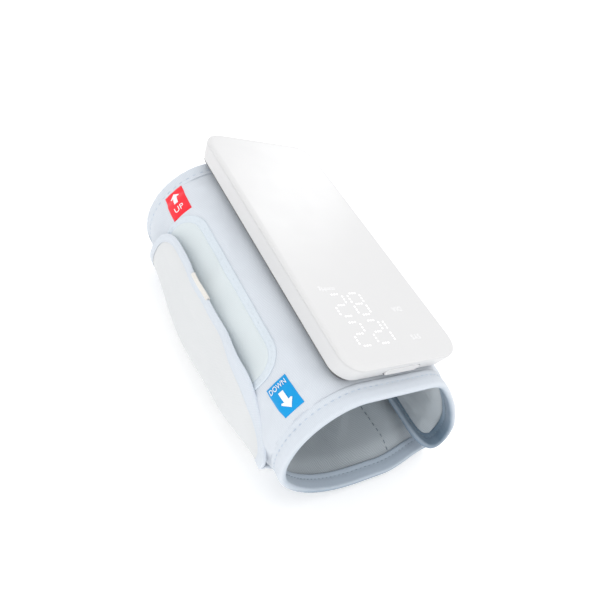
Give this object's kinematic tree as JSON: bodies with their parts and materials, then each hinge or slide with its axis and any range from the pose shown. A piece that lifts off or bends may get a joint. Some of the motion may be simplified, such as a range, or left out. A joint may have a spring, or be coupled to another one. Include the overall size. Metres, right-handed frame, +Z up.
{
  "type": "blood pressure cuff",
  "caption": "Wrap-around arm blood pressure cuff: flat one-piece monitor on top, air bladder in the bound cloth wall, fold-back strap through a wire ring, hook-and-loop flap.",
  "frame": {"origin": "middle of the footprint, on the surface the cuff rests on", "axes": "+X across the monitor towards the wire ring, +Y along the arm away from the start button, +Z up out of the monitor's display"},
  "size_m": [0.142, 0.154, 0.0848],
  "materials": {
    "white_plastic": "satin white moulding",
    "grey_plastic": "matte dark grey",
    "circuit_board": "satin green board",
    "outer_cloth": "fine woven pale blue-grey loop cloth",
    "strap_cloth": "warm light grey loop cloth",
    "lining_cloth": "ribbed grey lining",
    "binding_tape": "pale blue woven tape",
    "hook_cloth": "pale grey hook cloth with a stitched border",
    "red_label": "woven red label",
    "blue_label": "woven blue label",
    "ribbon": "cream ribbon",
    "rubber": "translucent rubber or film",
    "clear_sheet": "springy translucent sheet",
    "steel": "satin steel",
    "ring_metal": "plated wire"
  },
  "bodies": {
    "rest": {"monitor_base_shell": "white_plastic", "monitor_top_cover": "white_plastic", "case_screw_1": "steel", "case_screw_2": "steel", "case_screw_3": "steel", "case_screw_4": "steel", "button_switch": "grey_plastic", "main_board": "circuit_board", "display_board": "circuit_board", "led_array": "grey_plastic", "light_mask": "grey_plastic", "charge_board": "circuit_board", "charging_socket": "steel", "battery": "grey_plastic", "battery_lead": "steel", "motor_can": "steel", "motor_lead": "grey_plastic", "pump_head": "grey_plastic", "pump_tube": "rubber", "valve_tube": "rubber", "sensor_tube": "rubber", "air_manifold": "white_plastic", "air_nipple": "white_plastic", "pressure_sensor": "grey_plastic", "valve_body": "steel", "dock_plate": "grey_plastic", "outer_fabric": "outer_cloth", "curl_plate": "clear_sheet", "bladder": "rubber", "lining": "lining_cloth", "cuff_binding": "binding_tape", "hook_patch": "hook_cloth", "up_label": "red_label", "down_label": "blue_label", "strap": "strap_cloth", "strap_binding_front": "binding_tape", "strap_binding_back": "binding_tape", "ring_loop": "outer_cloth"},
    "button": {"start_button": "white_plastic"},
    "flap": {"flap": "strap_cloth", "flap_binding": "binding_tape", "pull_tab": "ribbon"},
    "ring": {"d_ring": "ring_metal"},
    "rotor": {"motor_shaft": "steel", "pump_eccentric": "white_plastic"},
    "plunger": {"valve_plunger": "steel"}
  },
  "joints": [
    {"name": "start_button_press", "type": "slide", "parent": "rest", "child": "button", "axis": [0, 1, 0], "range_m": [0, 0.0008], "stiffness_N_per_m": 1500},
    {"name": "flap_peel", "type": "hinge", "parent": "rest", "child": "flap", "pos_m": [-0.06081, 0.00698, 0.0149], "axis": [0, -1, 0], "range_deg": [0, 80]},
    {"name": "ring_swing", "type": "hinge", "parent": "rest", "child": "ring", "pos_m": [0.0549, 0.00698, 0.02901], "axis": [0, 1, 0], "range_deg": [-2.5, 2.5]},
    {"name": "motor_spin", "type": "hinge", "parent": "rest", "child": "rotor", "pos_m": [-0.03421, 0.03698, 0.0785], "axis": [0, 1, 0], "continuous": true},
    {"name": "valve_plunger_stroke", "type": "slide", "parent": "rest", "child": "plunger", "axis": [0, -1, 0], "range_m": [0, 0.0005], "stiffness_N_per_m": 800}
  ]
}
